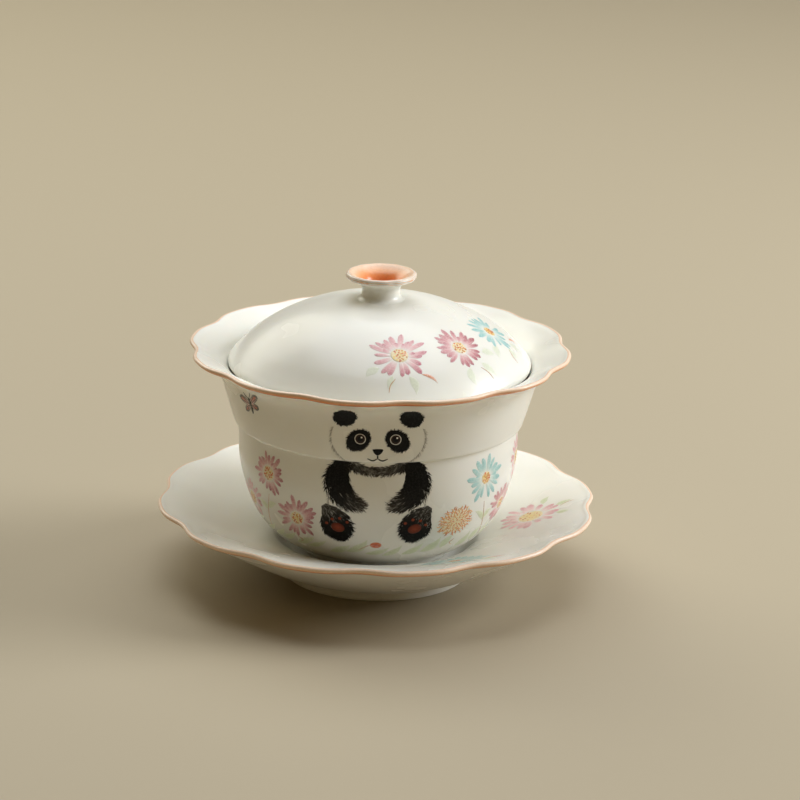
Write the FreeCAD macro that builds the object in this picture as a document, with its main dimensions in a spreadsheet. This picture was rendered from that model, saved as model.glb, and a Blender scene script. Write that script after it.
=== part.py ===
# Gaiwan: a lidded tea bowl on its saucer, all of thin glazed porcelain.
# Millimetres, +Z up. The origin is the centre of the saucer's foot ring, on the table.
# Four pieces: the saucer, the bowl that stands in its well, the lid that lies in the bowl's
# flare, and the hollow knob that is luted to the lid's crown.

import FreeCAD
import Part
import Sketcher
import math
import os

doc = FreeCAD.newDocument("gaiwan")

# Driving dimensions: alias, value, what it is.
SIZES = [
    ("lobe_count", 12, "lobes around each rim"),
    ("bowl_notch_turn", 6.8, "degrees from +X to a notch of the bowl's rim"),
    ("saucer_notch_turn", -4.2, "degrees from +X to a notch of the saucer's rim"),

    ("saucer_foot_radius", 24.9, "outside of the saucer's foot ring"),
    ("saucer_foot_width", 2.6, "thickness of that ring"),
    ("saucer_foot_height", 2.7, "height of the ring outside"),
    ("saucer_foot_recess", 3.4, "depth of the hollow inside the ring"),
    ("saucer_well_floor", 7.0, "height of the well's floor"),
    ("saucer_well_radius", 22.6, "radius of the well's floor"),
    ("saucer_collar_height", 11.2, "height of the collar round the well"),
    ("saucer_collar_radius", 28.2, "where the dish starts outside the collar"),
    ("saucer_rim_height", 20.4, "top of the saucer's rim"),
    ("saucer_rim_radius", 58.3, "crest of the saucer's lobes"),
    ("saucer_lobe_depth", 1.9, "how far a notch cuts in from the crest"),

    ("bowl_foot_radius", 20.0, "outside of the bowl's foot ring"),
    ("bowl_foot_width", 2.6, "thickness of that ring"),
    ("bowl_foot_height", 2.2, "height of the ring outside"),
    ("bowl_floor_height", 11.8, "height of the bowl's inner floor"),
    ("bowl_belly_radius", 36.9, "widest part of the belly"),
    ("bowl_belly_height", 37.0, "height of the widest part"),
    ("bowl_haunch_radius", 31.4, "where the belly starts to turn under"),
    ("bowl_haunch_height", 17.2, "height of that turn"),
    ("bowl_wall", 2.2, "thickness of the wall"),
    ("bowl_fold_height", 42.5, "crease of the folded waist"),
    ("bowl_rim_height", 62.4, "top of the bowl's rim"),
    ("bowl_rim_radius", 50.3, "crest of the bowl's lobes"),
    ("bowl_lobe_depth", 1.6, "how far a notch cuts in from the crest"),

    ("lid_radius", 39.8, "outside of the lid's rolled edge"),
    ("lid_edge_height", 56.8, "bottom of the rolled edge"),
    ("lid_seat_height", 75.35, "flat on the crown where the knob is luted"),
    ("lid_shoulder_radius", 20.0, "where the crown meets the shoulder"),
    ("lid_shoulder_height", 72.5, "height of that place"),
    ("lid_haunch_radius", 34.0, "where the shoulder meets the flank"),
    ("lid_haunch_height", 64.7, "height of that place"),
    ("lid_wall", 2.1, "thickness of the lid"),

    ("knob_base_radius", 6.3, "where the knob is luted to the lid"),
    ("knob_neck_radius", 5.0, "waist of the knob"),
    ("knob_lip_radius", 9.3, "lip of the knob"),
    ("knob_top_height", 82.4, "top of the lip"),
    ("knob_hollow_depth", 5.7, "depth of the hollow from the lip"),
    ("knob_hollow_radius", 3.6, "radius low in the hollow"),
]

# Points along the outline of each lobe, and how narrow the notches between lobes are.
POINTS_PER_LOBE = 8
NOTCH_SHARPNESS = 2

# Stations of the flares, from the top down: inset from the crest of the rim, drop below its top
# and share of the lobe's depth.
BOWL_OUTSIDE = [(0.5, 0.0, 1.0), (0.05, 0.5, 1.0), (0.5, 1.15, 1.0), (2.6, 2.15, 0.75),
                (5.2, 3.5, 0.4), (7.4, 5.5, 0.12), (8.8, 8.3, 0.0), (9.8, 11.4, 0.0),
                (10.8, 15.0, 0.0), (11.7, 18.0, 0.0), (12.1, 19.2, 0.0), (12.8, 19.9, 0.0)]
BOWL_INSIDE = [(1.3, 0.0, 1.0), (2.0, 0.4, 0.95), (5.0, 1.5, 0.5), (8.4, 3.2, 0.1),
               (10.5, 5.3, 0.0), (11.6, 8.2, 0.0), (12.5, 12.0, 0.0), (13.9, 15.8, 0.0),
               (15.6, 18.7, 0.0)]
SAUCER_OUTSIDE = [(0.5, 0.0, 1.0), (0.05, 0.5, 1.0), (0.4, 1.1, 1.0), (2.9, 2.2, 0.8),
                  (7.3, 4.7, 0.35), (13.3, 8.2, 0.08), (20.3, 12.2, 0.0), (27.3, 15.8, 0.0),
                  (33.1, 17.7, 0.0)]
SAUCER_INSIDE = [(1.3, 0.0, 1.0), (2.1, 0.3, 0.95), (4.6, 0.8, 0.7), (9.5, 2.2, 0.25),
                 (16.0, 4.3, 0.05), (24.0, 6.8, 0.0), (30.1, 9.2, 0.0)]

sheet = doc.addObject("Spreadsheet::Sheet", "sizes")
for row, (alias, value, meaning) in enumerate(SIZES, start=1):
    sheet.set(f"A{row}", meaning)
    sheet.set(f"B{row}", str(value))
    sheet.setAlias(f"B{row}", alias)
doc.recompute()


def size(expression):
    """Value of an expression in sheet aliases, such as 'lid_radius - lid_wall'."""
    return float(sheet.evalExpression(qualified(expression)))


def qualified(expression):
    """The same expression with each alias written as sizes.alias, for setExpression."""
    words = str(expression).split(" ")
    aliases = {alias for alias, _, _ in SIZES}
    return " ".join("sizes." + word if word in aliases else word for word in words)


def origin_plane(body, role):
    return next(part for part in body.Origin.OriginFeatures if part.Role == role)


def add_body(name):
    body = doc.addObject("PartDesign::Body", name)
    body.Label = name
    return body


def add_sketch(body, name, role):
    sketch = body.newObject("Sketcher::SketchObject", name)
    sketch.AttachmentSupport = [(origin_plane(body, role), "")]
    sketch.MapMode = "FlatFace"
    return sketch


def tangent_arc(start, end, heading):
    """Arc from start to end that leaves start along heading (radians), and its end heading."""
    chord = math.atan2(end.y - start.y, end.x - start.x)
    turn = math.remainder(chord - heading, 2 * math.pi)
    radius = start.distanceToPoint(end) / (2 * math.sin(abs(turn)))
    bulge = -math.copysign(radius * (1 - math.cos(turn)), turn)
    across = FreeCAD.Vector(-math.sin(chord), math.cos(chord), 0)
    return Part.Arc(start, (start + end) * 0.5 + across * bulge, end), chord + turn


def dome_heading(start, end):
    """Heading at start of the arc to end whose centre is on the axis."""
    rise = end.y - start.y
    centre = (end.x**2 - start.x**2 + end.y**2 - start.y**2) / (2 * rise)
    return math.atan2(-start.x, start.y - centre)


def turned_sketch(body, name, corners):
    """Closed profile to turn about the Z axis, with radius across and height up.

    Each corner is (radius, height, way), where the way to the next corner is a "line", an "arc"
    tangent to the way before it, or a "dome", an arc centred on the axis.
    """
    sketch = add_sketch(body, name, "XZ_Plane")
    places = [FreeCAD.Vector(size(radius), size(height), 0) for radius, height, _ in corners]
    heading = 0.0
    links = []
    for index, (_, _, way) in enumerate(corners):
        start = places[index]
        end = places[(index + 1) % len(places)]
        if way == "line":
            number = sketch.addGeometry(Part.LineSegment(start, end), False)
            heading = math.atan2(end.y - start.y, end.x - start.x)
        else:
            if way == "dome":
                heading = dome_heading(start, end)
            curve, heading = tangent_arc(start, end, heading)
            number = sketch.addGeometry(curve, False)
        begins = sketch.getPoint(number, 1).distanceToPoint(start) < 1e-4
        links.append((number, 1, 2) if begins else (number, 2, 1))
    tie_corners(sketch, corners, links)
    return sketch


def tie_corners(sketch, corners, links):
    """Joins the profile's ways end to end and binds every corner to the sheet."""
    for index, (number, first, _) in enumerate(links):
        radius, height, way = corners[index]
        before, _, before_end = links[index - 1]
        kind = "Tangent" if way == "arc" else "Coincident"
        sketch.addConstraint(Sketcher.Constraint(kind, before, before_end, number, first))
        if way == "dome":
            sketch.addConstraint(Sketcher.Constraint("PointOnObject", number, 3, -2))
        bind_place(sketch, "DistanceX", number, first, radius, -2)
        bind_place(sketch, "DistanceY", number, first, height, -1)


def bind_place(sketch, kind, number, point, expression, axis):
    """Binds one coordinate of a point to the sheet, or lays the point on the axis if it is 0."""
    value = size(expression)
    if value == 0:
        sketch.addConstraint(Sketcher.Constraint("PointOnObject", number, point, axis))
        return
    place = sketch.addConstraint(Sketcher.Constraint(kind, -1, 1, number, point, value))
    sketch.setExpression(f"Constraints[{place}]", qualified(expression))


def turn(body, kind, name, corners):
    """Revolution that adds, or Groove that cuts, the profile turned about the Z axis."""
    sketch = turned_sketch(body, name + "_profile", corners)
    feature = body.newObject("PartDesign::" + kind, name)
    feature.Profile = sketch
    feature.ReferenceAxis = (sketch, ["V_Axis"])
    feature.Angle = 360
    doc.recompute()
    return feature


def lobed_sketch(body, name, rim, station):
    """Outline of the lobed rim at one station: inset from the crest, drop below the top, share
    of the lobe's depth."""
    inset, drop, share = station
    sketch = add_sketch(body, name, "XY_Plane")
    sketch.setExpression("AttachmentOffset.Base.z", f"sizes.{rim}_rim_height - {drop}")
    radius = size(f"{rim}_rim_radius") - inset
    depth = size(f"{rim}_lobe_depth") * share
    lobes = int(size("lobe_count"))
    notch = math.radians(size(f"{rim}_notch_turn"))
    steps = lobes * POINTS_PER_LOBE
    outline = []
    for step in range(steps):
        angle = notch + 2 * math.pi * step / steps
        cut = depth * ((1 + math.cos(lobes * (angle - notch))) / 2) ** NOTCH_SHARPNESS
        outline.append(FreeCAD.Vector(math.cos(angle), math.sin(angle), 0) * (radius - cut))
    curve = Part.BSplineCurve()
    curve.interpolate(Points=outline, PeriodicFlag=True)
    sketch.addGeometry(curve, False)
    return sketch


def loft(body, kind, name, rim, stations):
    """AdditiveLoft or SubtractiveLoft through the rim's stations."""
    sketches = [lobed_sketch(body, f"{name}_{place}", rim, station)
                for place, station in enumerate(stations)]
    doc.recompute()
    feature = body.newObject("PartDesign::" + kind, name)
    feature.Profile = sketches[0]
    feature.Sections = sketches[1:]
    doc.recompute()
    return feature


def make_saucer():
    body = add_body("saucer")
    loft(body, "AdditiveLoft", "saucer_flare", "saucer", SAUCER_OUTSIDE)
    loft(body, "SubtractiveLoft", "saucer_dish", "saucer", SAUCER_INSIDE)
    turn(body, "Revolution", "saucer_foot", [
        ("0", "0", "line"),
        ("saucer_foot_radius - 0.6", "0", "line"),
        ("saucer_foot_radius", "0.6", "line"),
        ("saucer_foot_radius", "saucer_foot_height + 0.4", "line"),
        ("0", "saucer_foot_height + 0.4", "line"),
    ])
    turn(body, "Groove", "saucer_foot_recess_cut", [
        ("0", "0", "line"),
        ("saucer_foot_radius - saucer_foot_width", "0", "line"),
        ("saucer_foot_radius - saucer_foot_width - 0.6", "saucer_foot_recess", "line"),
        ("0", "saucer_foot_recess", "line"),
    ])
    turn(body, "Groove", "saucer_well", [
        ("0", "saucer_well_floor", "line"),
        ("saucer_well_radius", "saucer_well_floor", "line"),
        ("saucer_collar_radius - 1.2", "saucer_collar_height - 0.6", "line"),
        ("saucer_collar_radius", "saucer_collar_height + 0.6", "line"),
        ("0", "saucer_collar_height + 0.6", "line"),
    ])
    return body


def make_bowl():
    body = add_body("bowl")
    loft(body, "AdditiveLoft", "bowl_flare", "bowl", BOWL_OUTSIDE)
    turn(body, "Revolution", "bowl_belly", [
        ("0", "bowl_fold_height + 1", "line"),
        ("bowl_belly_radius", "bowl_fold_height + 1", "line"),
        ("bowl_belly_radius", "bowl_belly_height", "arc"),
        ("bowl_haunch_radius", "bowl_haunch_height", "arc"),
        ("bowl_foot_radius", "saucer_well_floor + bowl_foot_height", "line"),
        ("bowl_foot_radius", "saucer_well_floor + 0.5", "line"),
        ("bowl_foot_radius - 0.5", "saucer_well_floor", "line"),
        ("0", "saucer_well_floor", "line"),
    ])
    loft(body, "SubtractiveLoft", "bowl_mouth", "bowl", BOWL_INSIDE)
    turn(body, "Groove", "bowl_inside", [
        ("0", "bowl_fold_height + 1.4", "line"),
        ("bowl_belly_radius - bowl_wall", "bowl_fold_height + 1.4", "line"),
        ("bowl_belly_radius - bowl_wall", "bowl_belly_height", "arc"),
        ("bowl_haunch_radius - bowl_wall * 0.85", "bowl_haunch_height + bowl_wall * 0.52", "arc"),
        ("bowl_foot_radius - 2", "bowl_floor_height", "line"),
        ("0", "bowl_floor_height", "line"),
    ])
    turn(body, "Groove", "bowl_foot_recess", [
        ("0", "saucer_well_floor", "line"),
        ("bowl_foot_radius - bowl_foot_width", "saucer_well_floor", "line"),
        ("bowl_foot_radius - bowl_foot_width - 0.5", "saucer_well_floor + bowl_foot_height", "line"),
        ("0", "saucer_well_floor + bowl_foot_height", "line"),
    ])
    return body


def make_lid():
    body = add_body("lid")
    turn(body, "Revolution", "lid_dome", [
        ("0", "lid_seat_height", "line"),
        ("knob_base_radius + 0.1", "lid_seat_height", "dome"),
        ("lid_shoulder_radius", "lid_shoulder_height", "arc"),
        ("lid_haunch_radius", "lid_haunch_height", "arc"),
        ("lid_radius - 0.2", "lid_edge_height + 1.6", "arc"),
        ("lid_radius - 1.3", "lid_edge_height", "line"),
        ("0", "lid_edge_height", "line"),
    ])
    turn(body, "Groove", "lid_inside", [
        ("0", "lid_seat_height - lid_wall + 0.2", "dome"),
        ("lid_shoulder_radius - lid_wall * 0.31", "lid_shoulder_height - lid_wall * 0.95", "arc"),
        ("lid_haunch_radius - lid_wall * 0.65", "lid_haunch_height - lid_wall * 0.76", "arc"),
        ("lid_radius - 2.6", "lid_edge_height", "line"),
        ("0", "lid_edge_height", "line"),
    ])
    return body


def make_knob():
    body = add_body("lid_knob")
    turn(body, "Revolution", "knob_outside", [
        ("0", "lid_seat_height", "line"),
        ("knob_base_radius", "lid_seat_height", "line"),
        ("knob_base_radius - 0.8", "lid_seat_height + 0.4", "line"),
        ("knob_neck_radius", "lid_seat_height + 1.4", "line"),
        ("knob_neck_radius", "lid_seat_height + 2.7", "arc"),
        ("knob_lip_radius - 1.3", "knob_top_height - 2.0", "line"),
        ("knob_lip_radius - 0.2", "knob_top_height - 1.3", "line"),
        ("knob_lip_radius", "knob_top_height - 0.7", "line"),
        ("knob_lip_radius - 0.4", "knob_top_height", "line"),
        ("0", "knob_top_height", "line"),
    ])
    turn(body, "Groove", "knob_hollow", [
        ("0", "knob_top_height", "line"),
        ("knob_lip_radius - 1.1", "knob_top_height", "line"),
        ("knob_lip_radius - 2.4", "knob_top_height - 0.8", "line"),
        ("knob_hollow_radius + 1.3", "knob_top_height - 2.2", "line"),
        ("knob_hollow_radius + 0.3", "knob_top_height - 3.8", "line"),
        ("knob_hollow_radius", "knob_top_height - knob_hollow_depth + 0.6", "line"),
        ("knob_hollow_radius - 0.8", "knob_top_height - knob_hollow_depth", "line"),
        ("0", "knob_top_height - knob_hollow_depth", "line"),
    ])
    return body


def check(bodies):
    """Stops before anything is written if an object failed or a piece isn't one valid solid."""
    doc.recompute()
    for item in doc.Objects:
        if "Invalid" in item.State or "Error" in item.State:
            raise RuntimeError(f"{item.Name} failed: {item.State}")
    for body in bodies:
        shape = body.Shape
        if shape.isNull() or not shape.isValid() or len(shape.Solids) != 1:
            raise RuntimeError(f"{body.Label} isn't one valid solid")
        print(f"{body.Label}: {shape.Volume / 1000:.2f} cm3, box {shape.BoundBox}")


def write_parts(bodies):
    os.makedirs("parts", exist_ok=True)
    for body in bodies:
        body.Shape.exportStep(f"parts/{body.Label}.step")


pieces = [make_saucer(), make_bowl(), make_lid(), make_knob()]
check(pieces)
write_parts(pieces)
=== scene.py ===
import math
import random

import bpy
import numpy as np
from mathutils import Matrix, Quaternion, Vector


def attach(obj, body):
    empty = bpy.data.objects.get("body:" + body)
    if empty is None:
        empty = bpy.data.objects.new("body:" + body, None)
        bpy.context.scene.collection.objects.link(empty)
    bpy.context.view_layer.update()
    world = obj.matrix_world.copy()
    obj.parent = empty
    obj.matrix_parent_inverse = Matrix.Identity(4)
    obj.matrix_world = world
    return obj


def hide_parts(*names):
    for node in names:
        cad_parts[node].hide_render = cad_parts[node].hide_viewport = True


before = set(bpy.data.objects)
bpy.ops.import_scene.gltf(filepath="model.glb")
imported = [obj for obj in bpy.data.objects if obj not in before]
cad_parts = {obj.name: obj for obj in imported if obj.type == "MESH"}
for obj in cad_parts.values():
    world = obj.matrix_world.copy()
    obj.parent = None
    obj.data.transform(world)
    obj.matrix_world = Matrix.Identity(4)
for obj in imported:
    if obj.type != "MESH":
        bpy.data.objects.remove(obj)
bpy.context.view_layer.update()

mm = 0.001
lobes = 12

# Outlines run from the middle of the underside, over the lip, to the middle of the inside.
# Each point is radius, height (mm) and how much of the lobe is felt there.

saucer = {
    "body": "saucer",
    "lobeDepth": 1.9,
    "notchTurn": 85.8,                      # degrees from the front to a notch
    "outside": [
        (0, 3.4, 0), (18, 3.4, 0), (21.4, 3.35, 0), (21.9, 2.9, 0), (22.2, 0.4, 0), (22.6, 0, 0),
        (24.2, 0, 0), (24.75, 0.2, 0), (24.9, 0.7, 0), (24.9, 2.2, 0), (25.3, 2.7, 0),
        (31, 4.6, 0), (38, 8.2, 0), (45, 12.2, 0.08), (51, 15.7, 0.35),
        (55.4, 18.2, 0.8), (57.3, 18.95, 0.97), (58.0, 19.35, 1), (58.25, 19.85, 1)],
    "inside": [
        (58.25, 19.85, 1), (58.05, 20.25, 1), (57.6, 20.42, 1), (57.0, 20.38, 1),
        (56.2, 20.1, 0.95), (53.7, 19.55, 0.7), (48.8, 18.2, 0.25), (42.3, 16.1, 0.05),
        (34.3, 13.6, 0), (28.2, 11.2, 0), (27.2, 10.7, 0),
        (23.4, 7.5, 0), (22.2, 7.05, 0), (20.5, 7.0, 0), (0, 7.0, 0)],
}

bowl = {
    "body": "bowl",
    "lobeDepth": 1.6,
    "notchTurn": 96.8,
    "outside": [
        (0, 9.2, 0), (13, 9.2, 0), (16.6, 9.15, 0), (17.0, 8.8, 0), (17.3, 7.35, 0), (17.7, 7.0, 0),
        (19.3, 7.0, 0), (19.8, 7.2, 0), (20.0, 7.7, 0), (20.0, 8.9, 0), (20.5, 9.3, 0),
        (23.4, 10.25, 0), (26.5, 12, 0), (31.4, 17.2, 0), (34.6, 24, 0), (36.5, 31.5, 0),
        (36.9, 37, 0), (36.9, 41.7, 0), (37.0, 42.2, 0), (37.9, 42.7, 0), (38.5, 44.2, 0),
        (39.5, 47.4, 0), (41.5, 54.1, 0), (42.9, 56.9, 0.12), (45.1, 58.9, 0.4),
        (47.7, 60.25, 0.75), (49.5, 61.1, 0.97), (50.05, 61.5, 1), (50.25, 61.9, 1)],
    "inside": [
        (50.25, 61.9, 1), (50.1, 62.25, 1), (49.7, 62.42, 1), (49.1, 62.36, 1),
        (48.3, 62.0, 0.95), (45.3, 60.9, 0.5), (41.9, 59.2, 0.1), (39.8, 57.1, 0), (38.7, 54.2, 0),
        (37.8, 50.4, 0), (36.4, 46.6, 0), (35.0, 43, 0), (34.7, 38, 0), (34.2, 31, 0),
        (32.6, 24.5, 0), (29.5, 18.3, 0), (24.5, 13.9, 0), (18, 11.9, 0), (13, 11.8, 0), (0, 11.8, 0)],
}

lid = {
    "body": "lid",
    "lobeDepth": 0,
    "notchTurn": 0,
    "outside": [
        (0, 73.4, 0), (10, 72.8, 0), (19.35, 70.5, 0), (27, 66.7, 0), (32.6, 62.6, 0),
        (36.0, 58.8, 0), (36.9, 57.4, 0), (37.5, 56.85, 0), (38.4, 56.8, 0), (39.2, 57.1, 0),
        (39.7, 57.7, 0), (39.8, 58.3, 0)],
    "inside": [
        (39.8, 58.3, 0), (39.5, 59.05, 0), (38.6, 60.15, 0), (37, 61.9, 0), (34, 64.7, 0),
        (28, 68.8, 0), (20, 72.5, 0), (12, 74.7, 0), (6.6, 75.35, 0), (0, 75.35, 0)],
}

lidKnob = {
    "body": "lid",
    "lobeDepth": 0.15,
    "notchTurn": 20,
    "outside": [
        (0, 75.3, 0), (5, 75.3, 0), (6.4, 75.3, 0), (5.75, 75.6, 0), (5.2, 76.2, 0), (5.0, 77.1, 0),
        (5.0, 78.1, 0), (5.5, 79.2, 0), (6.8, 80.1, 0.3), (8.3, 80.6, 0.8), (9.1, 81.0, 1),
        (9.3, 81.5, 1)],
    "inside": [
        (9.3, 81.5, 1), (9.25, 82.0, 1), (8.8, 82.38, 1), (8.1, 82.3, 0.8), (6.9, 81.6, 0.4),
        (5.5, 80.75, 0), (4.5, 79.7, 0), (3.9, 78.4, 0), (3.55, 77.3, 0), (2.8, 76.75, 0), (0, 76.7, 0)],
}


def throughPoints(points, steps=5):
    # smooth line through the points (centripetal Catmull-Rom), with steps pieces between each two
    p = np.array(points, float)
    p = np.vstack([2 * p[0] - p[1], p, 2 * p[-1] - p[-2]])
    line = []
    for a, b, c, d in zip(p, p[1:], p[2:], p[3:]):
        ta = 0.0
        tb = ta + max(np.linalg.norm(b - a), 1e-6) ** 0.5
        tc = tb + max(np.linalg.norm(c - b), 1e-6) ** 0.5
        td = tc + max(np.linalg.norm(d - c), 1e-6) ** 0.5
        for t in np.linspace(tb, tc, steps, endpoint=False):
            ab = a + (b - a) * (t - ta) / (tb - ta)
            bc = b + (c - b) * (t - tb) / (tc - tb)
            cd = c + (d - c) * (t - tc) / (td - tc)
            abc = ab + (bc - ab) * (t - ta) / (tc - ta)
            bcd = bc + (cd - bc) * (t - tb) / (td - tb)
            line.append(abc + (bcd - abc) * (t - tb) / (tc - tb))
    line.append(p[-2])
    return np.array(line)


def wallOf(shape, side):
    # the side's line with the distance along it, ready to be looked up
    line = throughPoints(shape[side])
    step = np.hypot(np.diff(line[:, 0]), np.diff(line[:, 1]))
    reach = np.concatenate([[0], np.cumsum(step)])
    slope = np.gradient(line[:, :2], reach, axis=0)
    slope /= np.linalg.norm(slope, axis=1)[:, None]
    return {"shape": shape, "line": line, "reach": reach, "slope": slope}


def onWall(wall, turn, reach, lift):
    # points in metres: turn in radians from the front, reach along the wall and lift off it in mm
    shape, line = wall["shape"], wall["line"]
    radius, height, share = (np.interp(reach, wall["reach"], line[:, k]) for k in range(3))
    alongR, alongZ = (np.interp(reach, wall["reach"], wall["slope"][:, k]) for k in range(2))
    around = np.cos(lobes * (turn - math.radians(shape["notchTurn"])))
    radius = radius - shape["lobeDepth"] * share * ((1 + around) / 2) ** 2
    radius = radius + alongZ * lift
    height = height - alongR * lift
    radius, height, turn = np.broadcast_arrays(radius, height, turn)
    return np.stack([radius * np.sin(turn), -radius * np.cos(turn), height], -1) * mm


def newPiece(name, points, faces, material):
    mesh = bpy.data.meshes.new(name)
    mesh.from_pydata([tuple(p) for p in points], [], faces)
    mesh.polygons.foreach_set("use_smooth", [True] * len(mesh.polygons))
    mesh.materials.append(material)
    mesh.update()
    piece = bpy.data.objects.new(name, mesh)
    bpy.context.scene.collection.objects.link(piece)
    return piece


def grid(rows, columns, closed):
    # quads of a grid of points, closed round its columns or open
    wide = columns if closed else columns - 1
    faces = []
    for i in range(rows - 1):
        for j in range(wide):
            k = (j + 1) % columns
            faces.append((i * columns + j, i * columns + k, (i + 1) * columns + k, (i + 1) * columns + j))
    return faces


def thrown(name, shape, material, turns=360):
    # a thin wall turned about the axis, with its lobes pressed in
    under, inner = wallOf(shape, "outside"), wallOf(shape, "inside")
    turn = np.linspace(0, 2 * math.pi, turns, endpoint=False)
    rings = []
    for wall, start in ((under, 1), (inner, 1)):
        last = len(wall["reach"]) - (1 if wall is inner else 0)
        for reach in wall["reach"][start:last]:
            rings.append(onWall(wall, turn, reach, 0))
    points = np.concatenate(rings)
    faces = grid(len(rings), turns, True)
    for wall, row, end in ((under, 0, 0), (inner, len(rings) - 1, -1)):
        points = np.vstack([points, onWall(wall, 0.0, wall["reach"][end], 0)])
        hub = len(points) - 1
        for j in range(turns):
            a, b = row * turns + j, row * turns + (j + 1) % turns
            faces.append((a, hub, b) if row == 0 else (a, b, hub))
    piece = newPiece(name, points, faces, material)
    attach(piece, shape["body"])
    return piece


def mixColour(a, b, t):
    return tuple(x + (y - x) * t for x, y in zip(a, b))


def srgb(red, green, blue):
    # a colour given as on a paint chart, 0 to 255, as linear light
    shares = (c / 255 for c in (red, green, blue))
    return tuple(c / 12.92 if c <= 0.0404 else ((c + 0.055) / 1.055) ** 2.4 for c in shares)


# Glaze and enamels

glazeLook = {
    "cream": srgb(241, 240, 232),
    "warmCream": srgb(239, 237, 227),
    "roughness": (0.25, 0.29),
}


def node(tree, kind, **values):
    made = tree.nodes.new(kind)
    for name, value in values.items():
        if name in made.inputs:
            made.inputs[name].default_value = value
        else:
            setattr(made, name, value)
    return made


def rampNode(tree, factor, low, high, places=(0.35, 0.65)):
    ramp = tree.nodes.new("ShaderNodeValToRGB")
    ramp.color_ramp.elements[0].position, ramp.color_ramp.elements[1].position = places
    ramp.color_ramp.elements[0].color = (*low, 1)
    ramp.color_ramp.elements[1].color = (*high, 1)
    tree.links.new(factor, ramp.inputs["Fac"])
    return ramp.outputs["Color"]


def glazeMaterial():
    material = bpy.data.materials.new("creamGlaze")
    material.use_nodes = True
    tree = material.node_tree
    shader = tree.nodes["Principled BSDF"]
    place = tree.nodes.new("ShaderNodeTexCoord").outputs["Object"]
    cloud = node(tree, "ShaderNodeTexNoise", Scale=38.0, Detail=3.0)
    grain = node(tree, "ShaderNodeTexNoise", Scale=900.0, Detail=2.0)
    for texture in (cloud, grain):
        tree.links.new(place, texture.inputs["Vector"])
    colour = rampNode(tree, cloud.outputs["Fac"], glazeLook["cream"], glazeLook["warmCream"])
    tree.links.new(colour, shader.inputs["Base Color"])
    low, high = glazeLook["roughness"]
    rough = node(tree, "ShaderNodeMapRange")
    rough.inputs["To Min"].default_value = low
    rough.inputs["To Max"].default_value = high
    tree.links.new(cloud.outputs["Fac"], rough.inputs["Value"])
    tree.links.new(rough.outputs["Result"], shader.inputs["Roughness"])
    bump = node(tree, "ShaderNodeBump", Strength=0.05, Distance=0.0001)
    tree.links.new(grain.outputs["Fac"], bump.inputs["Height"])
    tree.links.new(bump.outputs["Normal"], shader.inputs["Normal"])
    shader.inputs["IOR"].default_value = 1.5
    shader.inputs["Subsurface Weight"].default_value = 0.2
    shader.inputs["Subsurface Radius"].default_value = (1.0, 0.8, 0.6)
    shader.inputs["Subsurface Scale"].default_value = 0.0015
    return material


def enamelMaterial(name, roughness, grain, gloss=0.5):
    # painted colour from the mesh, worn thin by the brush so that grain of the glaze shows through
    material = bpy.data.materials.new(name)
    material.use_nodes = True
    tree = material.node_tree
    shader = tree.nodes["Principled BSDF"]
    paint = node(tree, "ShaderNodeVertexColor", layer_name="paint")
    place = tree.nodes.new("ShaderNodeTexCoord").outputs["Object"]
    brush = node(tree, "ShaderNodeTexNoise", Scale=1500.0, Detail=4.0)
    tree.links.new(place, brush.inputs["Vector"])
    shade = node(tree, "ShaderNodeMapRange")
    shade.inputs["To Min"].default_value = 0.86
    shade.inputs["To Max"].default_value = 1.12
    tree.links.new(brush.outputs["Fac"], shade.inputs["Value"])
    mixed = tree.nodes.new("ShaderNodeVectorMath")
    mixed.operation = "SCALE"
    tree.links.new(paint.outputs["Color"], mixed.inputs[0])
    tree.links.new(shade.outputs["Result"], mixed.inputs["Scale"])
    speck = node(tree, "ShaderNodeTexNoise", Scale=2600.0, Detail=2.0)
    tree.links.new(place, speck.inputs["Vector"])
    worn = node(tree, "ShaderNodeMapRange")
    worn.inputs["From Min"].default_value = 0.45
    worn.inputs["From Max"].default_value = 0.75
    worn.inputs["To Max"].default_value = grain
    tree.links.new(speck.outputs["Fac"], worn.inputs["Value"])
    through = tree.nodes.new("ShaderNodeMixRGB")
    through.inputs["Color2"].default_value = (*glazeLook["cream"], 1)
    tree.links.new(worn.outputs["Result"], through.inputs["Fac"])
    tree.links.new(mixed.outputs["Vector"], through.inputs["Color1"])
    tree.links.new(through.outputs["Color"], shader.inputs["Base Color"])
    shader.inputs["Specular IOR Level"].default_value = gloss
    shader.inputs["Roughness"].default_value = roughness
    shader.inputs["IOR"].default_value = 1.5
    return material


creamGlaze = glazeMaterial()
rimEnamel = enamelMaterial("orangeEnamel", 0.24, 0.06, 0.4)

# The orange edge of each lip.
# Colours run from the inner edge of the band to its lower edge. On each lip the pale crest is a painted
# highlight over thinner enamel, and the deeper orange down the outer face is partly painted shade and partly
# enamel pooled away from the crest. On the knob the band starts deep in the hollow, where the darker orange
# is painted shade, and turns pale near the lip, partly as a painted highlight.

edgeLook = {
    "lip": [srgb(240, 180, 130), srgb(250, 226, 204), srgb(249, 216, 184), srgb(236, 152, 92),
            srgb(224, 122, 60), srgb(214, 106, 44), srgb(200, 92, 34)],
    "knob": [srgb(222, 118, 56), srgb(226, 124, 62), srgb(230, 132, 70), srgb(236, 148, 88),
             srgb(245, 184, 136), srgb(251, 218, 190), srgb(249, 208, 172), srgb(228, 142, 86)],
    "thickness": 0.055,
    "wobble": 0.16,
}


def waver(turn, seed, size):
    # slow uneven wave round a ring, the same at both ends
    rng = random.Random(seed)
    total = 0
    for beats in (3, 5, 8, 13, 21):
        total = total + math.sin(beats * turn + rng.uniform(0, 6.28)) * rng.uniform(0.4, 1)
    return total * size / 3


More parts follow.
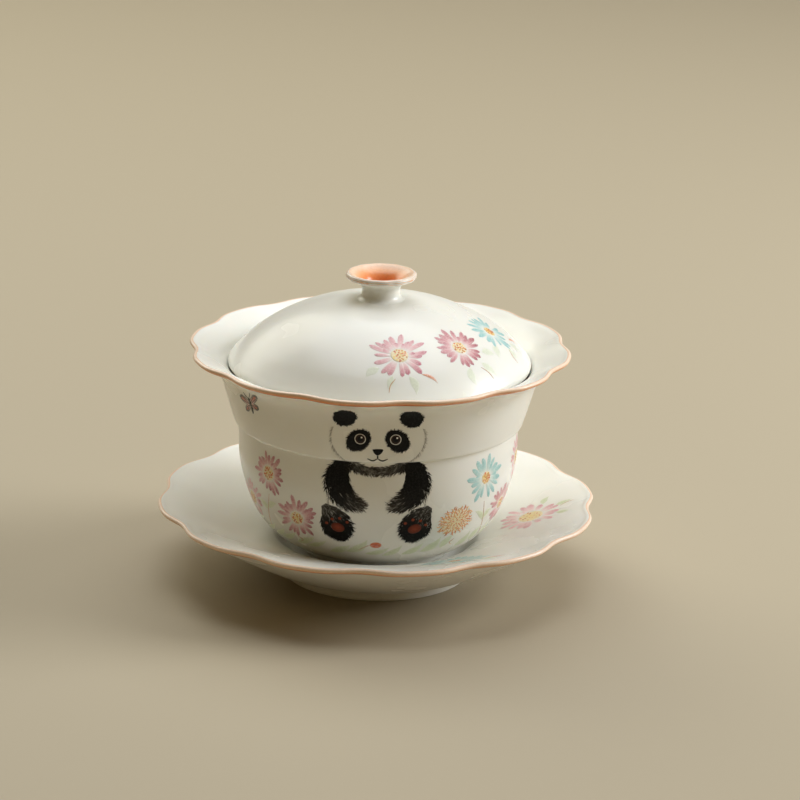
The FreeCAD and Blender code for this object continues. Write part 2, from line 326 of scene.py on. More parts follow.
def rimBand(name, shape, inner, outer, colourRun, seed, turns=720, rows=24):
    # an enamel band over the lip, from inner mm inside the lip's outermost line to outer mm below it
    over, under = wallOf(shape, "inside"), wallOf(shape, "outside")
    edge = under["reach"][-1]
    # the run of colours is partly painted light: a painted highlight on the crest, and painted shade lower
    # on the outer face and deep in the knob's hollow
    tones = shadeAlong(edgeLook[colourRun], rows)
    points, colours = [], []
    for row in range(rows):
        across = row / (rows - 1)
        swell = math.sin(math.pi * across) ** 0.5
        for j in range(turns):
            turn = 2 * math.pi * j / turns
            inside = inner + waver(turn, seed, edgeLook["wobble"])
            below = outer + waver(turn, seed + 1, edgeLook["wobble"])
            along = inside + (-below - inside) * across
            lift = edgeLook["thickness"] * swell - 0.012
            if along >= 0:
                points.append(onWall(over, turn, along, lift))
            else:
                points.append(onWall(under, turn, edge + along, lift))
            thin = 0.3 * (1 - swell) if across < 0.5 else 0
            colours.append((*mixColour(tones[row], glazeLook["cream"], thin), 1))
    piece = newPiece(name, points, grid(rows, turns, True), rimEnamel)
    paint = piece.data.color_attributes.new("paint", "FLOAT_COLOR", "POINT")
    paint.data.foreach_set("color", np.array(colours, np.float32).ravel())
    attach(piece, shape["body"])


def pottery():
    for name, shape, nodeName in (("saucerPorcelain", saucer, "saucer"), ("bowlPorcelain", bowl, "bowl"),
                                  ("lidPorcelain", lid, "lid"), ("lidKnobPorcelain", lidKnob, "lid_knob")):
        piece = thrown(name, shape, creamGlaze)
        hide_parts(nodeName)
        print("thrown:", name, len(piece.data.polygons), "faces")


# Painting. A sheet gathers brush strokes drawn flat in mm, x to the right and y up the wall from the
# spot where the brush was set down, and turns them into thin raised enamel on the wall.

glazeTone = mixColour(glazeLook["cream"], glazeLook["warmCream"], 0.5)
sunk = -0.02              # mm, lift of an edge that runs into the glaze
goldenTurn = 2.4          # radians from one seed of a flower head to the next
waist = 63.8              # mm along the bowl's wall from the middle underneath to the fold

enamels = {
    "pinkDeep": srgb(184, 78, 100),
    "pinkPale": srgb(232, 178, 180),
    "roseDeep": srgb(158, 50, 74),
    "rosePale": srgb(222, 160, 164),
    "tealDeep": srgb(120, 186, 186),
    "tealPale": srgb(176, 214, 210),
    "leafPale": srgb(202, 212, 166),
    "leafFaint": srgb(220, 226, 200),
    "pinkSoft": srgb(214, 138, 150),
    "pinkFaint": srgb(240, 204, 202),
    "stem": srgb(196, 150, 104),
    "orange": srgb(222, 122, 62),
    "red": srgb(206, 84, 58),
    "rust": srgb(196, 92, 40),
    "yellow": srgb(240, 208, 118),
    "ochre": srgb(214, 156, 70),
    "black": srgb(7, 6, 5),
    "furGrey": srgb(84, 75, 64),
    "brown": srgb(60, 43, 35),
    "padBrown": srgb(138, 62, 38),
    "white": srgb(244, 240, 230),
}


def newSheet(shape, side, turn=0, reach=0):
    return {"wall": wallOf(shape, side), "spot": (math.radians(turn), reach),
            "turns": [], "reaches": [], "lifts": [], "colours": [], "faces": [], "count": 0}


def moveTo(sheet, turn, reach):
    sheet["spot"] = (math.radians(turn), reach)


def addPaint(sheet, x, y, lift, colour, faces):
    # points as flat arrays, colours one row a point, faces as rows of point numbers
    turn, reach = sheet["spot"]
    wall = sheet["wall"]
    along = reach + np.asarray(y, float)
    radius = np.interp(along, wall["reach"], wall["line"][:, 0])
    sheet["turns"].append(turn + np.asarray(x, float) / np.maximum(radius, 1))
    sheet["reaches"].append(along)
    sheet["lifts"].append(np.broadcast_to(np.asarray(lift, float), along.shape))
    sheet["colours"].append(np.broadcast_to(np.asarray(colour, float), (len(along), 3)))
    sheet["faces"].append(np.asarray(faces) + sheet["count"])
    sheet["count"] += len(along)


def gridFaces(rows, columns):
    i, j = np.meshgrid(np.arange(rows - 1), np.arange(columns - 1), indexing="ij")
    a = (i * columns + j).ravel()
    return np.stack([a, a + 1, a + columns + 1, a + columns], 1)


def stroke(sheet, line, halves, colours, lift=0.04, fade=0.35):
    # one brush mark along a line, its two edges sunk into the glaze and paler by fade
    line = np.asarray(line, float)
    heading = np.gradient(line, axis=0)
    heading /= np.maximum(np.linalg.norm(heading, axis=1), 1e-9)[:, None]
    side = np.stack([-heading[:, 1], heading[:, 0]], 1)
    halves = np.broadcast_to(np.asarray(halves, float), len(line))
    colours = np.broadcast_to(np.asarray(colours, float), (len(line), 3))
    inner = np.linspace(-1, 1, max(3, int(halves.max() * 3) // 2 * 2 + 3)) * 0.8
    across = np.concatenate([[-1], inner, [1]])
    lifts = lift * (1 - 0.25 * across**2)
    lifts[[0, -1]] = sunk
    fades = fade * across**2
    points = line[:, None] + side[:, None] * (halves[:, None] * across)[..., None]
    shades = colours[:, None] + (np.array(glazeTone) - colours[:, None]) * fades[None, :, None]
    addPaint(sheet, points[..., 0].ravel(), points[..., 1].ravel(), np.tile(lifts, len(line)),
             shades.reshape(-1, 3), gridFaces(len(line), len(across)))


def bentLine(start, end, bend, steps=9):
    # from start to end, bowed to the left by bend of its length
    start, end = np.array(start, float), np.array(end, float)
    t = np.linspace(0, 1, steps)[:, None]
    away = np.array([-(end - start)[1], (end - start)[0]])
    return start + (end - start) * t + away * bend * 4 * t * (1 - t)


def shadeAlong(stops, steps):
    # colours evenly spread over steps points
    places = np.linspace(0, len(stops) - 1, steps)
    stops = np.array(stops)
    return np.stack([np.interp(places, range(len(stops)), stops[:, k]) for k in range(3)], 1)


def fineLine(sheet, points, half, colour, lift=0.07):
    line = throughPoints(points, 6)
    t = np.linspace(0, 1, len(line))
    stroke(sheet, line, half * (0.35 + 0.65 * np.sin(np.pi * np.clip(t, 0.05, 0.95))), colour, lift, 0.1)


def patch(sheet, outline, middle, edge, lift=0.05, softness=0.1):
    # a filled shape that can be seen whole from its middle
    outline = np.array(outline, float)
    ring = throughPoints(np.vstack([outline, outline[:1]]), 5)[:-1]
    hub = ring.mean(0)
    shares = (0.45, 0.8, 0.96, 1.0)
    points = np.vstack([[hub]] + [hub + (ring - hub) * share for share in shares])
    middle, edge = np.array(middle), np.array(edge)
    tones = [middle, mixColour(middle, edge, 0.4), mixColour(middle, edge, 0.8), edge,
             mixColour(edge, glazeTone, softness)]
    colours = np.vstack([[tones[0]]] + [np.tile(tone, (len(ring), 1)) for tone in tones[1:]])
    lifts = np.concatenate([[lift], np.repeat([lift, lift, lift * 0.8, sunk], len(ring))])
    n = len(ring)
    faces = []
    for j in range(n):
        k = (j + 1) % n
        faces.append((0, 1 + j, 1 + k, 1 + k))
        for band in range(len(shares) - 1):
            a = 1 + band * n
            faces.append((a + j, a + n + j, a + n + k, a + k))
    addPaint(sheet, points[:, 0], points[:, 1], lifts, colours, faces)


def hairs(sheet, roots, angles, lengths, widths, bends, colours, lifts):
    # many fine tapered strokes at once, each 4 points long and 3 wide
    roots = np.asarray(roots, float)
    n = len(roots)
    t = np.array([0, 0.35, 0.7, 1])
    halves = np.array([0.55, 1, 0.62, 0.1])
    ahead = np.stack([np.cos(angles), np.sin(angles)], 1)
    aside = np.stack([-ahead[:, 1], ahead[:, 0]], 1)
    spine = (roots[:, None] + ahead[:, None] * (lengths[:, None] * t)[..., None]
             + aside[:, None] * ((bends * lengths)[:, None] * t**2)[..., None])
    spread = aside[:, None, None] * (widths[:, None, None] * halves[None, :, None]
                                     * np.array([-1, 0, 1])[None, None])[..., None] / 2
    points = spine[:, :, None] + spread
    high = np.asarray(lifts)[:, None, None] * np.array([0.25, 1, 0.25])
    high = np.broadcast_to(high, (n, 4, 3))
    shades = np.broadcast_to(np.asarray(colours)[:, None, None], (n, 4, 3, 3))
    one = gridFaces(4, 3)
    faces = (one[None] + 12 * np.arange(n)[:, None, None]).reshape(-1, 4)
    addPaint(sheet, points[..., 0].ravel(), points[..., 1].ravel(), high.ravel(),
             shades.reshape(-1, 3), faces)


def dots(sheet, centres, sizes, colours, lift=0.07, base=-0.01):
    # small round touches of the brush's tip
    for centre, size, colour in zip(centres, sizes, colours):
        angle = np.linspace(0, 2 * math.pi, 8, endpoint=False)
        rim = np.array(centre) + np.stack([np.cos(angle), np.sin(angle)], 1) * size
        points = np.vstack([[centre], rim])
        faces = [(0, 1 + j, 1 + (j + 1) % 8, 1 + (j + 1) % 8) for j in range(8)]
        addPaint(sheet, points[:, 0], points[:, 1], [lift] + [base] * 8, colour, faces)


def layDown(sheet, name, shape, material):
    # the gathered strokes as one piece on its wall
    points = onWall(sheet["wall"], np.concatenate(sheet["turns"]), np.concatenate(sheet["reaches"]),
                    np.concatenate(sheet["lifts"]))
    faces = [tuple(dict.fromkeys(face)) for face in np.concatenate(sheet["faces"]).tolist()]
    piece = newPiece(name, points.tolist(), faces, material)
    colours = np.concatenate(sheet["colours"])
    colours = np.hstack([colours, np.ones((len(colours), 1))]).astype(np.float32)
    paint = piece.data.color_attributes.new("paint", "FLOAT_COLOR", "POINT")
    paint.data.foreach_set("color", colours.ravel())
    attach(piece, shape["body"])
    print("painted:", name, len(faces), "faces")


def petal(sheet, base, angle, length, half, deep, pale, bend, lift):
    # pale where it leaves the flower's eye, deepest near its pointed tip
    end = np.array(base) + np.array([math.cos(angle), math.sin(angle)]) * length
    line = bentLine(base, end, bend, 10)
    t = np.linspace(0, 1, 10)
    width = half * (0.5 + 0.5 * t**0.6) * np.sqrt(np.clip(1 - t**5, 0.01, 1))
    stops = [mixColour(glazeTone, pale, 0.12), mixColour(glazeTone, pale, 0.75),
             mixColour(pale, deep, 0.35), mixColour(pale, deep, 0.8), deep]
    tones = shadeAlong(stops, 10)
    stroke(sheet, line, width, tones, lift, 0.35)


def aster(sheet, flower, rng):
    # one and a half rounds of petals, deepest on the dark side, and an eye of dots
    x, y = flower["at"]
    count, radius, eyeRadius = flower["petals"], flower["radius"], flower["eye"]
    deep, pale = enamels[flower["deep"]], enamels[flower["pale"]]
    touches = flower.get("touches", 30)
    darkSide = math.radians(-50)

    def place(angle, far):
        return np.array([x + math.cos(angle) * far, y + math.sin(angle) * far])

    for k in range(count + count // 2):
        angle = math.radians(360 * (k + 0.5) / count + rng.uniform(-6, 6))
        far = radius * rng.uniform(0.78, 1.1) * (0.72 if k >= count else 1)
        near, tip = place(angle, eyeRadius * 1.15), place(angle, far)
        run = tip - near
        shadow = 0.55 + 0.45 * max(0, math.cos(angle - darkSide))
        tone = mixColour(pale, deep, min(1, shadow * rng.uniform(0.75, 1.15)))
        petal(sheet, near, math.atan2(run[1], run[0]), float(np.linalg.norm(run)),
              radius * rng.uniform(0.105, 0.15) * flower.get("broad", 1), tone, pale,
              rng.uniform(-0.06, 0.06), rng.uniform(0.028, 0.045))
    wash = mixColour(glazeTone, enamels["yellow"], flower["gold"])
    disc = [place(angle, eyeRadius * 1.15) for angle in np.linspace(0, 2 * math.pi, 12, endpoint=False)]
    patch(sheet, disc, wash, mixColour(wash, glazeTone, 0.3), 0.052, 0.5)
    centres, sizes, tones = [], [], []
    for k in range(touches):
        far = eyeRadius * math.sqrt((k + 0.5) / touches)
        centres.append(place(k * goldenTurn + rng.uniform(-0.3, 0.3), far))
        sizes.append(rng.uniform(0.2, 0.34))
        tones.append(enamels[rng.choice(("orange", "orange", "rust", "ochre", "yellow"))])
    dots(sheet, centres, sizes, tones, 0.085, 0.05)


def leaf(sheet, start, end, half, bend=0.12, tone="leafPale", lift=0.022):
    line = bentLine(start, end, bend, 12)
    t = np.linspace(0, 1, 12)
    colour = mixColour(glazeTone, enamels[tone], 0.85)
    tones = shadeAlong([colour, colour, mixColour(colour, glazeTone, 0.35)], 12)
    stroke(sheet, line, half * np.clip(np.sin(np.pi * t**0.8), 0.06, 1), tones, lift, 0.45)


def stem(sheet, points, half=0.16, tone="stem"):
    fineLine(sheet, points, half, enamels[tone], 0.035)


# The panda on the front of the bowl: sitting, facing out, the same on both sides of its middle line.
# Places are for its right half, x from the middle line and y from the fold. A spine's points are x, y,
# half width and how much ink they carry; flare is how far, in degrees, the hairs open from the spine.

panda = {
    "middle": 0,
    "arm": {"spine": [(6, -0.5, 1.2, 0.9), (9, -2, 3, 1), (10.5, -5.5, 3.8, 1), (9.5, -9, 3.6, 0.95),
                      (6.5, -11.5, 2.8, 0.85), (3.5, -12.5, 1.4, 0.7)],
            "flare": (26, -26), "hairs": 1500, "length": (1.0, 1.8)},
    "leg": {"spine": [(14, -13, 1, 0.7), (12, -15.5, 3.6, 0.85), (10.5, -18.5, 4.6, 0.95),
                      (9.5, -21, 3.8, 1), (9, -23.5, 1.2, 1)],
            "flare": (24, -30), "hairs": 1700, "length": (0.9, 1.6)},
    "collar": {"spine": [(7, -1, 1.7, 0.85), (4, -2, 1.5, 0.75), (2, -2.5, 1.4, 0.7), (0, -2.5, 1.3, 0.7)],
               "flare": (50, -20), "hairs": 260, "length": (0.8, 1.4)},
    "ear": {"at": (8.5, 14.5), "size": (3, 2.7), "tilt": -35},
    "patch": {"at": (5, 7.5), "size": (2.7, 3.6), "tilt": 35},
    "eye": {"at": (4.5, 8), "size": 1.5},
    "nose": {"at": (0, 4), "size": (1.4, 0.9)},
    "sole": {"at": (10, -19.5), "size": (1.9, 1.5), "tilt": 20},
    "toes": [(7.5, -17.5), (9.5, -16.5), (11.5, -17), (13, -18.5)],
    "cheeks": {"at": (0, 8), "size": (12, 9.5), "arc": (-75, 20), "hairs": 110},
    "flank": {"at": (0, -11), "size": (12.5, 10), "arc": (-30, 20), "hairs": 60},
}


def furLimb(sheet, limb, rng):
    # a wash of ink with hairs combed over it
    spine = throughPoints(limb["spine"], 6)
    step = np.linalg.norm(np.diff(spine[:, :2], axis=0), axis=1)
    along = np.concatenate([[0], np.cumsum(step)])
    heading = np.gradient(spine[:, :2], axis=0)
    heading /= np.linalg.norm(heading, axis=1)[:, None]
    ink = np.clip(spine[:, 3], 0, 1)[:, None]
    black, grey = np.array(enamels["black"]), np.array(enamels["furGrey"])
    wash = black + (np.array(glazeTone) - black) * np.clip(0.62 - 0.68 * ink, 0, 0.42)
    stroke(sheet, spine[:, :2], np.maximum(spine[:, 2] * 0.86, 0.2), wash, 0.02, 0.0)
    wanted = limb["hairs"]
    chance = spine[:, 2] / spine[:, 2].sum()
    place = np.sort(rng.choice(len(along), wanted, p=chance)) + rng.uniform(-0.5, 0.5, wanted)
    place = np.clip(place, 0, len(along) - 1)
    rows = np.arange(len(along))
    x, y, half, inkHere = (np.interp(place, rows, spine[:, k]) for k in range(4))
    hx, hy = (np.interp(place, rows, heading[:, k]) for k in range(2))
    across = rng.uniform(-1, 1, wanted)
    left, right = (math.radians(a) for a in limb["flare"])
    lean = right + (left - right) * (across + 1) / 2 + rng.normal(0, 0.2, wanted)
    angle = np.arctan2(hy, hx) + lean
    low, high = limb["length"]
    length = rng.uniform(low, high, wanted) * np.clip(half / 1.6, 0.45, 1)
    inset = 1 - 0.35 * length / np.maximum(half, 0.6)
    roots = np.stack([x - hy * half * across * np.clip(inset, 0.3, 1),
                      y + hx * half * across * np.clip(inset, 0.3, 1)], 1)
    keep = rng.uniform(0, 1, wanted) < 0.35 + 0.65 * inkHere
    greyness = np.clip((1 - inkHere) * 2.2 * rng.uniform(0.1, 1.2, wanted), 0, 0.85)
    colours = black + (grey - black) * greyness[:, None]
    colours = np.where((rng.uniform(0, 1, wanted) < (0.96 - inkHere) * 0.8)[:, None],
                       np.array(mixColour(enamels["furGrey"], glazeTone, 0.3)), colours)
    hairs(sheet, roots[keep], angle[keep], length[keep], rng.uniform(0.13, 0.25, keep.sum()),
          rng.uniform(-0.12, 0.12, keep.sum()), colours[keep], rng.uniform(0.026, 0.05, keep.sum()))


def fringe(sheet, outline, rng, count, length, lean):
    # short hairs round a patch, pointing away from its middle and swept by lean
    ring = np.array(outline, float)
    ring = throughPoints(np.vstack([ring, ring[:1]]), 8)[:-1]
    hub = ring.mean(0)
    pick = rng.integers(0, len(ring), count)
    away = ring[pick] - hub
    angle = np.arctan2(away[:, 1], away[:, 0]) + math.radians(lean) + rng.normal(0, 0.25, count)
    roots = hub + away * rng.uniform(0.8, 0.97, count)[:, None]
    tone = np.tile(enamels["black"], (count, 1))
    hairs(sheet, roots, angle, rng.uniform(0.5, 1, count) * length, rng.uniform(0.14, 0.24, count),
          rng.uniform(-0.1, 0.1, count), tone, rng.uniform(0.03, 0.06, count))


def oval(centre, wide, high, steps=20, tilt=0):
    # half its width and height in mm, and its tilt in degrees
    angle = np.linspace(0, 2 * math.pi, steps, endpoint=False)
    ring = np.stack([np.cos(angle) * wide, np.sin(angle) * high], 1)
    turn = math.radians(tilt)
    turned = ring @ np.array([[math.cos(turn), math.sin(turn)], [-math.sin(turn), math.cos(turn)]])
    return np.array(centre) + turned


def eye(sheet, centre, size):
    # cream ring, brown iris, black pupil and a glint
    x, y = centre
    ring = mixColour(enamels["white"], enamels["furGrey"], 0.2)
    patch(sheet, oval(centre, size, size * 1.1), ring, ring, 0.075, 0)
    patch(sheet, oval(centre, size * 0.86, size * 0.96), enamels["black"], enamels["brown"], 0.095, 0)
    patch(sheet, oval(centre, size * 0.5, size * 0.56), enamels["black"], enamels["black"], 0.115, 0)
    patch(sheet, oval((x + 0.35, y + 0.5), 0.26, 0.26, 8), enamels["white"], enamels["white"], 0.14, 0)


def mirrored(spec, side, middle):
    # the same spine or place on the other side of the middle line
    turned = dict(spec)
    if "spine" in spec:
        turned["spine"] = [(middle + side * point[0], *point[1:]) for point in spec["spine"]]
        turned["flare"] = spec["flare"] if side > 0 else (-spec["flare"][1], -spec["flare"][0])
    if "at" in spec:
        turned["at"] = (middle + side * spec["at"][0], spec["at"][1])
    if "tilt" in spec:
        turned["tilt"] = side * spec["tilt"]
    return turned


def edgeHairs(sheet, spec, side, middle, rng):
    # pale hairs that hint at the white coat's edge
    count = spec["hairs"]
    first, last = spec["arc"]
    angle = np.radians(rng.uniform(first, last, count))
    wide, high = spec["size"]
    roots = np.stack([middle + side * (spec["at"][0] + np.cos(angle) * wide),
                      spec["at"][1] + np.sin(angle) * high], 1)
    way = np.arctan2(np.sin(angle), side * np.cos(angle)) - side * 0.9 + rng.normal(0, 0.2, count)
    tone = mixColour(enamels["furGrey"], glazeTone, 0.45)
    hairs(sheet, roots, way, rng.uniform(0.7, 1.3, count), rng.uniform(0.1, 0.16, count),
          rng.uniform(-0.1, 0.1, count), np.tile(tone, (count, 1)), rng.uniform(0.02, 0.04, count))


def paintPanda():
    rng = np.random.default_rng(5)
    fur = newSheet(bowl, "outside", 0, waist)
    detail = newSheet(bowl, "outside", 0, waist)
    black, middle = enamels["black"], panda["middle"]
    for side in (-1, 1):
        for name in ("collar", "arm", "leg"):
            furLimb(fur, mirrored(panda[name], side, middle), rng)
        for name in ("ear", "patch"):
            spec = mirrored(panda[name], side, middle)
            ring = oval(spec["at"], *spec["size"], 14, spec["tilt"])
            patch(fur, ring, black, black, 0.05, 0)
            fringe(fur, ring, rng, 260, 0.9, -side * 35)
        for name in ("cheeks", "flank"):
            edgeHairs(fur, panda[name], side, middle, rng)
        eye(detail, mirrored(panda["eye"], side, middle)["at"], panda["eye"]["size"])
        sole = mirrored(panda["sole"], side, middle)
        patch(detail, oval(sole["at"], *sole["size"], 14, sole["tilt"]), enamels["padBrown"],
              mixColour(enamels["padBrown"], black, 0.55), 0.1, 0)
        toes = [(middle + side * x, y) for x, y in panda["toes"]]
        dots(detail, toes, [0.45] * len(toes), [enamels["padBrown"]] * len(toes), 0.11, 0.06)
    x, y = middle + panda["nose"]["at"][0], panda["nose"]["at"][1]
    wide, high = panda["nose"]["size"]
    nose = [(x - wide, y + high), (x, y + high * 1.2), (x + wide, y + high),
            (x + wide * 0.6, y - high * 0.4), (x, y - high), (x - wide * 0.6, y - high * 0.4)]
    patch(detail, nose, black, black, 0.09, 0)
    lip, ink = y - high - 1, 0.22
    fineLine(detail, [(x, y - high), (x, lip)], ink, black, 0.1)
    for side in (-1, 1):
        smile = [(x, lip), (x + side * 1.2, lip - 0.7), (x + side * 2.6, lip - 0.1)]
        fineLine(detail, smile, ink, black, 0.1)
    layDown(fur, "bowlPandaFur", bowl, inkEnamel)
    layDown(detail, "bowlPandaFace", bowl, inkEnamel)


# Flowers, leaves and the butterfly. First the kinds of flower, then how each piece is planted.

flowerKinds = {
    "rose": {"petals": 19, "eye": 1.8, "deep": "roseDeep", "pale": "rosePale", "gold": 0.6},
    "pink": {"petals": 17, "eye": 2, "deep": "pinkDeep", "pale": "pinkPale", "gold": 0.8},
    "teal": {"petals": 16, "eye": 1.5, "deep": "tealDeep", "pale": "tealPale", "gold": 0.9},
    "faint": {"petals": 17, "eye": 3, "deep": "pinkSoft", "pale": "pinkFaint", "gold": 0.8,
              "broad": 1.2, "touches": 22},
}

# rows of flowers along the bowl: turn is where a row's middle is, first and step are mm round the wall
bowlRows = [
    {"turn": 0, "first": -22, "step": -10, "kinds": ["rose", "rose", "pink"]},
    {"turn": 0, "first": 22, "step": 10, "kinds": ["mum", "teal", "rose", "pink"]},
    {"turn": 180, "first": -15, "step": 10, "kinds": ["pink", "teal", "rose", "pink"]},
]

# low and high are flower middles and ground the line they grow from, all in mm from the fold
bowlBed = {"low": -19, "high": -8, "radius": 6.5, "ground": -28, "reach": 48, "leafGap": 5,
           "berry": (0, -25)}

# runs of flowers round a dished top: first and step in degrees, reach in mm along the wall
lidRuns = [
    {"first": 10, "step": 35, "kinds": ["pink", "rose", "teal"]},
    {"first": 190, "step": 35, "kinds": ["pink"]},
]
lidBed = {"reach": 15, "radius": 7, "tone": "leafFaint"}

saucerRuns = [
    {"first": 30, "step": 60, "kinds": ["teal", "faint"]},
    {"first": 180, "step": 60, "kinds": ["pink"]},
]
saucerBed = {"reach": 18, "radius": 8, "tone": "leafPale"}


def mum(sheet, flower, rng):
    # a full round flower of short curled strokes on pale yellow
    lean = math.radians(flower["lean"])
    x, y = flower["at"]
    wash = mixColour(glazeTone, enamels["yellow"], 0.65)
    ring = oval((x, y), flower["wide"] * 0.92, flower["high"] * 0.92, 14, flower["lean"])
    patch(sheet, ring, wash, mixColour(wash, glazeTone, 0.4), 0.025, 0.5)
    for k in range(flower["dashes"]):
        far = math.sqrt((k + 0.5) / flower["dashes"])
        angle = k * goldenTurn
        a, b = math.cos(angle) * far * flower["wide"], math.sin(angle) * far * flower["high"]
        start = (x + a * math.cos(lean) - b * math.sin(lean), y + a * math.sin(lean) + b * math.cos(lean))
        way = math.atan2(start[1] - y, start[0] - x) + rng.uniform(-0.3, 0.3)
        size = 0.55 + 0.55 * far
        end = (start[0] + math.cos(way) * size, start[1] + math.sin(way) * size)
        tone = mixColour(enamels["orange"], enamels["yellow"], rng.uniform(0, 0.6))
        line = bentLine(start, end, rng.choice((-0.35, 0.35)), 6)
        stroke(sheet, line, 0.21 * np.array([0.5, 1, 1, 0.9, 0.6, 0.2]), tone, 0.06, 0.1)


def plantFlower(sheets, kind, at, radius, rng):
    if kind == "mum":
        size = {"wide": radius * 0.8, "high": radius * 0.6}
        mum(sheets["ochre"], {"at": at, "lean": 20, "dashes": 130, **size}, rng)
        return
    flower = {"at": at, "radius": radius, **flowerKinds[kind]}
    aster(sheets["teal" if kind == "teal" else "pink"], flower, rng)


def plantRow(sheets, row, rng):
    # low and high flowers by turns, each on a bent stem, with two leaves on the high ones
    ground = bowlBed["ground"]
    for k, kind in enumerate(row["kinds"]):
        x = row["first"] + k * row["step"]
        y = bowlBed["high"] if k % 2 else bowlBed["low"]
        radius = bowlBed["radius"] * rng.uniform(0.92, 1.08)
        plantFlower(sheets, kind, (x, y), radius, rng)
        foot, lean = y - radius, rng.uniform(-2, 2)
        stem(sheets["ochre"], [(x, foot), (x + lean, (foot + ground) / 2), (x + lean * 0.5, ground)])
        for side in (-1, 1) if k % 2 else ():
            root = (x + lean, (foot + ground) / 2 + rng.uniform(-2, 2))
            tip = (root[0] + side * rng.uniform(3, 4), root[1] + rng.uniform(2, 5))
            leaf(sheets["green"], root, tip, rng.uniform(1, 1.4), side * 0.12)


def plantGround(sheets, rng):
    # a line of leaves that lean one way, and one berry
    reach, ground = bowlBed["reach"], bowlBed["ground"]
    for x in np.arange(-reach, reach + 1, bowlBed["leafGap"]):
        root = (x + rng.uniform(-1.2, 1.2), ground - rng.uniform(0.5, 2))
        tip = (root[0] + rng.uniform(3.5, 6.5), root[1] + rng.uniform(3, 5.5))
        leaf(sheets["green"], root, tip, rng.uniform(1.2, 1.8), rng.uniform(-0.14, 0.14))
    x, y = bowlBed["berry"]
    patch(sheets["ochre"], oval((x, y), 1.5, 1.1, 14), enamels["red"], enamels["orange"], 0.08)
    stem(sheets["ochre"], [(x - 1.5, y), (x - 3, y - 1), (x - 4.5, y - 2.5)])


def plantRun(sheets, run, bed, rng):
    # a flower with a stem, three leaves and, every other time, an orange leaf
    for k, kind in enumerate(run["kinds"]):
        setBrush(sheets, run["first"] + k * run["step"], bed["reach"])
        radius = bed["radius"] * rng.uniform(0.92, 1.08)
        plantFlower(sheets, kind, (0, 0), radius, rng)
        side = 1 if k % 2 else -1
        stem(sheets["ochre"], [(side * 2, -radius), (side * 3.5, -radius - 2), (side * 4, -radius - 4)])
        for turn in (-1, 0, 1):
            way = math.radians(-90 + side * 20 + turn * 38 + rng.uniform(-8, 8))
            root = (math.cos(way) * radius * 0.95, math.sin(way) * radius * 0.95)
            size = rng.uniform(4, 5.5)
            tip = (root[0] + math.cos(way) * size, root[1] + math.sin(way) * size)
            leaf(sheets["green"], root, tip, rng.uniform(1, 1.4), turn * 0.12, bed["tone"])
        if k % 2 == 0:
            root, tip = (-side * 5, -radius + 1), (-side * 9, -radius - 2)
            leaf(sheets["ochre"], root, tip, 0.5, 0.12, "orange", 0.035)


sheetSlots = {"green": "green_enamel", "pink": "pink_enamel", "teal": "teal_enamel", "ochre": "ochre_enamel"}


def setBrush(sheets, turn, reach):
    for sheet in sheets.values():
        moveTo(sheet, turn, reach)


def layAll(sheets, shape):
    for colour, sheet in sheets.items():
        if sheet["count"]:
            layDown(sheet, shape["body"] + colour.capitalize() + "Painting", shape, paintEnamel)


butterfly = {
    "at": (-38, 12),
    "lean": 110,                             # degrees its body leans from the right
    "wings": [(55, 5.2, 1.5), (118, 3.6, 1.3)],   # degrees from the head, length and half width
}


def paintButterfly(sheet):
    # two pairs of wings, each laid on a darker edge, and a body over them
    x, y = butterfly["at"]
    lean = math.radians(butterfly["lean"])
    black, deep, mid = enamels["black"], enamels["rust"], enamels["rosePale"]
    for side in (-1, 1):
        for degrees, length, half in butterfly["wings"]:
            way = lean + side * math.radians(degrees)
            petal(sheet, (x, y), way, length, half, black, black, 0, 0.05)
            petal(sheet, (x, y), way, length * 0.82, half * 0.7, deep, mid, 0, 0.08)
            for spread in (-0.16, 0.16):
                end = (x + math.cos(way + spread) * length * 0.9, y + math.sin(way + spread) * length * 0.9)
                fineLine(sheet, [(x, y), ((x + end[0]) / 2, (y + end[1]) / 2), end], 0.16, black, 0.1)
        tip = lean + side * 0.35
        fineLine(sheet, [(x + math.cos(lean) * 1.8, y + math.sin(lean) * 1.8),
                         (x + math.cos(tip) * 3.2, y + math.sin(tip) * 3.2),
                         (x + math.cos(tip) * 4.4, y + math.sin(tip) * 4.4)], 0.14, black, 0.09)
    line = bentLine((x + math.cos(lean) * 2, y + math.sin(lean) * 2),
                    (x - math.cos(lean) * 2.8, y - math.sin(lean) * 2.8), 0.04)
    stroke(sheet, line, np.array([0.35, 0.55, 0.6, 0.5, 0.5, 0.5, 0.42, 0.3, 0.12]), black, 0.13, 0)


def paintBowl():
    rng = np.random.default_rng(21)
    sheets = {colour: newSheet(bowl, "outside", 0, waist) for colour in sheetSlots}
    plantGround(sheets, rng)
    paintButterfly(sheets["pink"])
    for row in bowlRows:
        setBrush(sheets, row["turn"], waist)
        plantRow(sheets, row, rng)
    layAll(sheets, bowl)


def paintTop(shape, runs, bed, seed):
    rng = np.random.default_rng(seed)
    sheets = {colour: newSheet(shape, "inside") for colour in sheetSlots}
    for run in runs:
        plantRun(sheets, run, bed, rng)
    layAll(sheets, shape)


pottery()
rimBand("saucerOrangeEdge", saucer, 1.2, 3.0, "lip", 3)
rimBand("bowlOrangeEdge", bowl, 1.3, 2.2, "lip", 7)
rimBand("knobOrangeEdge", lidKnob, 10.4, 0.9, "knob", 11)
print("orange edges painted")

paintEnamel = enamelMaterial("paintedEnamel", 0.28, 0.4)
inkEnamel = enamelMaterial("inkEnamel", 0.42, 0.02, 0.12)
paintPanda()
paintBowl()
paintTop(lid, lidRuns, lidBed, 31)
paintTop(saucer, saucerRuns, saucerBed, 41)

# Camera, floor and light

view = {
    "distance": 0.9,
    "height": 0.0474,          # what it looks at, on the axis
    "elevation": 17.45,
    "roll": 1.19,
    "lens": 153.5,
    "shift": 0.0265,
}


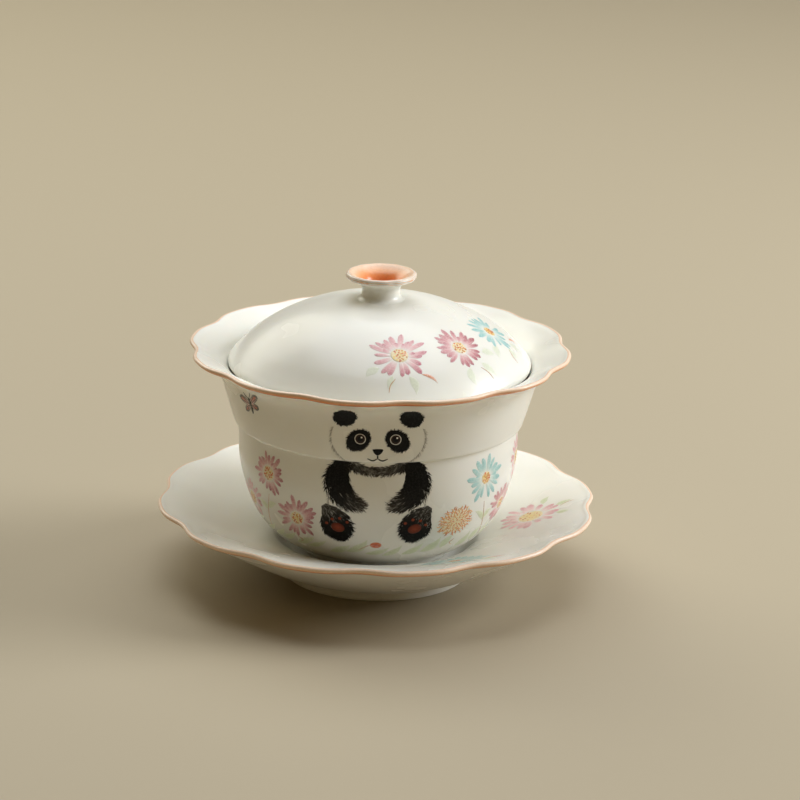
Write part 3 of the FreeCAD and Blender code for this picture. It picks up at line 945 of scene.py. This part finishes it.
def makeCamera():
    data = bpy.data.cameras.new("camera")
    data.sensor_width = 36
    data.lens = view["lens"]
    data.shift_x = view["shift"]
    data.clip_start = 0.05
    camera = bpy.data.objects.new("camera", data)
    bpy.context.scene.collection.objects.link(camera)
    up = math.radians(view["elevation"])
    target = Vector((0, 0, view["height"]))
    camera.location = target + Vector((0, -math.cos(up), math.sin(up))) * view["distance"]
    look = (target - camera.location).to_track_quat("-Z", "Y")
    camera.rotation_mode = "QUATERNION"
    camera.rotation_quaternion = look @ Quaternion((0, 0, 1), math.radians(view["roll"]))
    bpy.context.scene.camera = camera


studio = {
    "floor": srgb(176, 164, 140),
    "room": srgb(190, 165, 118),
    "roomStrength": 0.24,
    "lamps": {
        "windowRight": {"place": (0.95, 0.1, 0.5), "size": 0.6, "power": 10.5, "colour": (0.93, 0.96, 1.0)},
        "skyAbove": {"place": (0, 0.4, 1.25), "size": 1.3, "power": 12, "colour": (0.92, 0.96, 1.0)},
        "softLeft": {"place": (-0.6, 0.8, 0.7), "size": 0.8, "power": 4.2, "colour": (1.0, 1.0, 0.88)},
    },
}


def areaLight(name, place, size, power, colour):
    data = bpy.data.lights.new(name, "AREA")
    data.shape = "DISK"
    data.size = size
    data.energy = power
    data.color = colour
    light = bpy.data.objects.new(name, data)
    light.location = place
    aim = Vector((0, 0, 0.04)) - Vector(place)
    light.rotation_euler = aim.to_track_quat("-Z", "Y").to_euler()
    bpy.context.scene.collection.objects.link(light)


def plainMaterial(name, colour, roughness):
    material = bpy.data.materials.new(name)
    material.use_nodes = True
    shader = material.node_tree.nodes["Principled BSDF"]
    shader.inputs["Base Color"].default_value = (*colour, 1)
    shader.inputs["Roughness"].default_value = roughness
    return material


def makeStudio():
    floor = newPiece("floor", [(-3, -3, 0), (3, -3, 0), (3, 3, 0), (-3, 3, 0)], [(0, 1, 2, 3)],
                     plainMaterial("paleFloor", studio["floor"], 0.7))
    for name, lamp in studio["lamps"].items():
        areaLight(name, **lamp)
    world = bpy.data.worlds.new("room")
    world.use_nodes = True
    world.node_tree.nodes["Background"].inputs["Color"].default_value = (*studio["room"], 1)
    world.node_tree.nodes["Background"].inputs["Strength"].default_value = studio["roomStrength"]
    bpy.context.scene.world = world
    bpy.context.scene.view_settings.view_transform = "Standard"


makeCamera()
makeStudio()
print("studio ready")
